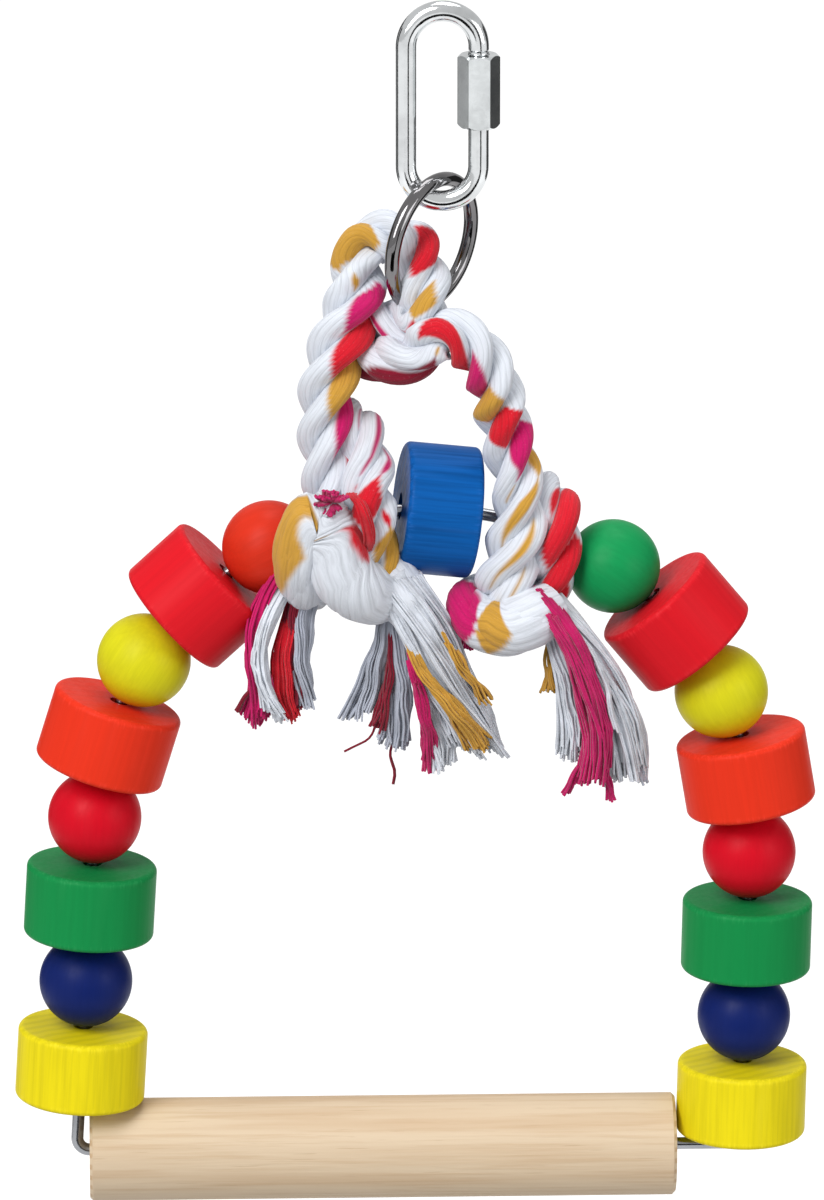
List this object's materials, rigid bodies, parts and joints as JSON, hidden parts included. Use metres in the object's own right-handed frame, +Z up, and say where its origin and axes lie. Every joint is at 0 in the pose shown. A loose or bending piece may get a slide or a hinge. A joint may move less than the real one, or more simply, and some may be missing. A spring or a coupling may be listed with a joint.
{
  "type": "bird swing",
  "caption": "Hanging bird swing: steel wire arch threaded with wooden balls and blocks, a turning dowel perch, knotted cotton rope, ring and screw link",
  "frame": {"origin": "inside of the quick link's top bend, where the swing hangs on a bar", "axes": "+Z up, +X to the right along the perch, +Y away from the viewer"},
  "size_m": [0.1943, 0.0409, 0.2982],
  "materials": {
    "zinc_link": "bright zinc plate",
    "zinc_sleeve": "bright zinc plate",
    "steel_ring": "nickel plate",
    "steel_wire": "drawn wire",
    "cotton_rope": "twisted cotton",
    "cotton_tail": "frayed cotton",
    "yellow_block_paint": "stained, satin",
    "yellow_ball_paint": "lacquered, satin",
    "navy_ball_paint": "lacquered, satin",
    "green_block_paint": "lacquered, satin",
    "green_ball_paint": "lacquered, satin",
    "red_ball_paint": "lacquered, satin",
    "red_block_paint": "lacquered, satin",
    "orange_block_paint": "lacquered, satin",
    "orange_ball_paint": "lacquered, satin",
    "blue_block_paint": "stained, satin",
    "raw_wood": "sanded, bare"
  },
  "bodies": {
    "link": {"quick_link": "zinc_link"},
    "sleeve": {"link_sleeve": "zinc_sleeve"},
    "hanging_ring": {"ring": "steel_ring"},
    "swing_frame": {"arch_wire": "steel_wire", "rope_loop": "cotton_rope", "knot_left": "cotton_rope", "knot_right": "cotton_rope", "tassel_left_front": "cotton_tail", "tassel_left_rear": "cotton_tail", "tassel_right_front": "cotton_tail", "tassel_right_rear": "cotton_tail"},
    "left_yellow_block": {"left_yellow_block": "yellow_block_paint"},
    "left_navy_ball": {"left_navy_ball": "navy_ball_paint"},
    "left_green_block": {"left_green_block": "green_block_paint"},
    "left_red_ball": {"left_red_ball": "red_ball_paint"},
    "left_orange_block": {"left_orange_block": "orange_block_paint"},
    "left_yellow_ball": {"left_yellow_ball": "yellow_ball_paint"},
    "left_red_block": {"left_red_block": "red_block_paint"},
    "left_orange_ball": {"left_orange_ball": "orange_ball_paint"},
    "right_yellow_block": {"right_yellow_block": "yellow_block_paint"},
    "right_navy_ball": {"right_navy_ball": "navy_ball_paint"},
    "right_green_block": {"right_green_block": "green_block_paint"},
    "right_red_ball": {"right_red_ball": "red_ball_paint"},
    "right_orange_block": {"right_orange_block": "orange_block_paint"},
    "right_yellow_ball": {"right_yellow_ball": "yellow_ball_paint"},
    "right_red_block": {"right_red_block": "red_block_paint"},
    "right_green_ball": {"right_green_ball": "green_ball_paint"},
    "centre_blue_block": {"centre_blue_block": "blue_block_paint"},
    "perch": {"perch": "raw_wood"}
  },
  "joints": [
    {"name": "sleeve_travel", "type": "slide", "parent": "link", "child": "sleeve", "axis": [0, 0, -1], "range_m": [0, 0.0092]},
    {"name": "ring_swing", "type": "hinge", "parent": "link", "child": "hanging_ring", "pos_m": [-0.00266, 0, -0.04308], "axis": [0.9511, 0, -0.309], "range_deg": [-25, 25]},
    {"name": "frame_swing", "type": "hinge", "parent": "hanging_ring", "child": "swing_frame", "pos_m": [-0.00413, 0.0026, -0.06967], "axis": [0.6157, 0.788, 0], "range_deg": [-12, 12]},
    {"name": "left_yellow_block_turn", "type": "hinge", "parent": "swing_frame", "child": "left_yellow_block", "pos_m": [-0.08767, 0, -0.25795], "axis": [0.061, 0, 0.9981], "continuous": true},
    {"name": "left_navy_ball_turn", "type": "hinge", "parent": "swing_frame", "child": "left_navy_ball", "pos_m": [-0.0864, 0, -0.23719], "axis": [0.061, 0, 0.9981], "continuous": true},
    {"name": "left_green_block_turn", "type": "hinge", "parent": "swing_frame", "child": "left_green_block", "pos_m": [-0.08513, 0, -0.21643], "axis": [0.061, 0, 0.9981], "continuous": true},
    {"name": "left_red_ball_turn", "type": "hinge", "parent": "swing_frame", "child": "left_red_ball", "pos_m": [-0.08386, 0, -0.19567], "axis": [0.061, 0, 0.9981], "continuous": true},
    {"name": "left_orange_block_turn", "type": "hinge", "parent": "swing_frame", "child": "left_orange_block", "pos_m": [-0.08035, 0, -0.17523], "axis": [0.2959, 0, 0.9552], "continuous": true},
    {"name": "left_yellow_ball_turn", "type": "hinge", "parent": "swing_frame", "child": "left_yellow_ball", "pos_m": [-0.07167, 0, -0.15639], "axis": [0.5335, 0, 0.8458], "continuous": true},
    {"name": "left_red_block_turn", "type": "hinge", "parent": "swing_frame", "child": "left_red_block", "pos_m": [-0.05841, 0, -0.14045], "axis": [0.7346, 0, 0.6785], "continuous": true},
    {"name": "left_orange_ball_turn", "type": "hinge", "parent": "swing_frame", "child": "left_orange_ball", "pos_m": [-0.04146, 0, -0.12849], "axis": [0.8854, 0, 0.4649], "continuous": true},
    {"name": "right_yellow_block_turn", "type": "hinge", "parent": "swing_frame", "child": "right_yellow_block", "pos_m": [0.07326, 0, -0.26846], "axis": [0.0209, 0, 0.9998], "continuous": true},
    {"name": "right_navy_ball_turn", "type": "hinge", "parent": "swing_frame", "child": "right_navy_ball", "pos_m": [0.07369, 0, -0.24767], "axis": [0.0209, 0, 0.9998], "continuous": true},
    {"name": "right_green_block_turn", "type": "hinge", "parent": "swing_frame", "child": "right_green_block", "pos_m": [0.07413, 0, -0.22687], "axis": [0.0209, 0, 0.9998], "continuous": true},
    {"name": "right_red_ball_turn", "type": "hinge", "parent": "swing_frame", "child": "right_red_ball", "pos_m": [0.07456, 0, -0.20608], "axis": [0.0209, 0, 0.9998], "continuous": true},
    {"name": "right_orange_block_turn", "type": "hinge", "parent": "swing_frame", "child": "right_orange_block", "pos_m": [0.07357, 0, -0.18534], "axis": [-0.1684, 0, 0.9857], "continuous": true},
    {"name": "right_yellow_ball_turn", "type": "hinge", "parent": "swing_frame", "child": "right_yellow_ball", "pos_m": [0.06743, 0, -0.16553], "axis": [-0.4182, 0, 0.9083], "continuous": true},
    {"name": "right_red_block_turn", "type": "hinge", "parent": "swing_frame", "child": "right_red_block", "pos_m": [0.05637, 0, -0.14799], "axis": [-0.6394, 0, 0.7688], "continuous": true},
    {"name": "right_green_ball_turn", "type": "hinge", "parent": "swing_frame", "child": "right_green_ball", "pos_m": [0.04114, 0, -0.13391], "axis": [-0.8169, 0, 0.5767], "continuous": true},
    {"name": "centre_blue_block_turn", "type": "hinge", "parent": "swing_frame", "child": "centre_blue_block", "pos_m": [-0.00114, 0, -0.11947], "axis": [0.9895, 0.0779, -0.1219], "continuous": true},
    {"name": "perch_turn", "type": "hinge", "parent": "swing_frame", "child": "perch", "pos_m": [-0.015, 0, -0.2807], "axis": [1, 0, 0], "continuous": true}
  ]
}
